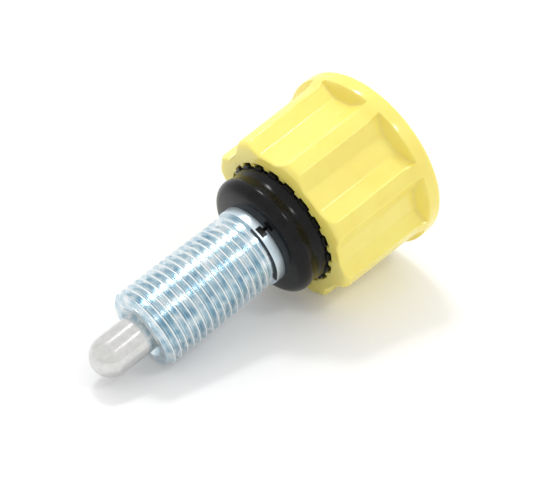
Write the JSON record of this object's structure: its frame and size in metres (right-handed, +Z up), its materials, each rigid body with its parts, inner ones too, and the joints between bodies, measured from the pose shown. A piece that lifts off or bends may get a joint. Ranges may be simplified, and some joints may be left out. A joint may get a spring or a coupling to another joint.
{
  "type": "indexing plunger",
  "caption": "Spring-loaded indexing plunger: ball-nosed steel pin in a threaded steel barrel, black nylon hub and a yellow scooped pull knob guided on a spline.",
  "frame": {"origin": "centre of the footprint box on the table, under the middle of the whole part as it lies", "axes": "+Z up, +X along the plunger from its nose towards its knob as seen from above, +Y across; the plunger's own axis rises towards the knob in the XZ plane"},
  "size_m": [0.0722, 0.038, 0.0405],
  "materials": {
    "zinc_steel": "bright zinc-plated, turned",
    "polished_steel": "ground and polished",
    "spring_steel": "drawn wire",
    "bush_brass": "turned",
    "black_nylon": "fine-grained moulding",
    "yellow_plastic": "smooth satin moulding",
    "dark_steel": "blackened"
  },
  "bodies": {
    "barrel": {"threaded_barrel": "zinc_steel", "hub": "black_nylon", "guide_bush": "bush_brass", "spring": "spring_steel"},
    "plunger": {"plunger_pin": "polished_steel", "knob": "yellow_plastic", "flat_washer": "zinc_steel", "spring_washer": "spring_steel", "clamp_screw": "dark_steel", "end_cap": "yellow_plastic"}
  },
  "joints": [
    {"name": "knob_pull", "type": "slide", "parent": "barrel", "child": "plunger", "axis": [0.9684, 0, 0.2493], "range_m": [0, 0.011], "stiffness_N_per_m": 1500, "springref_m": -0.01, "deforming": ["spring"]}
  ]
}
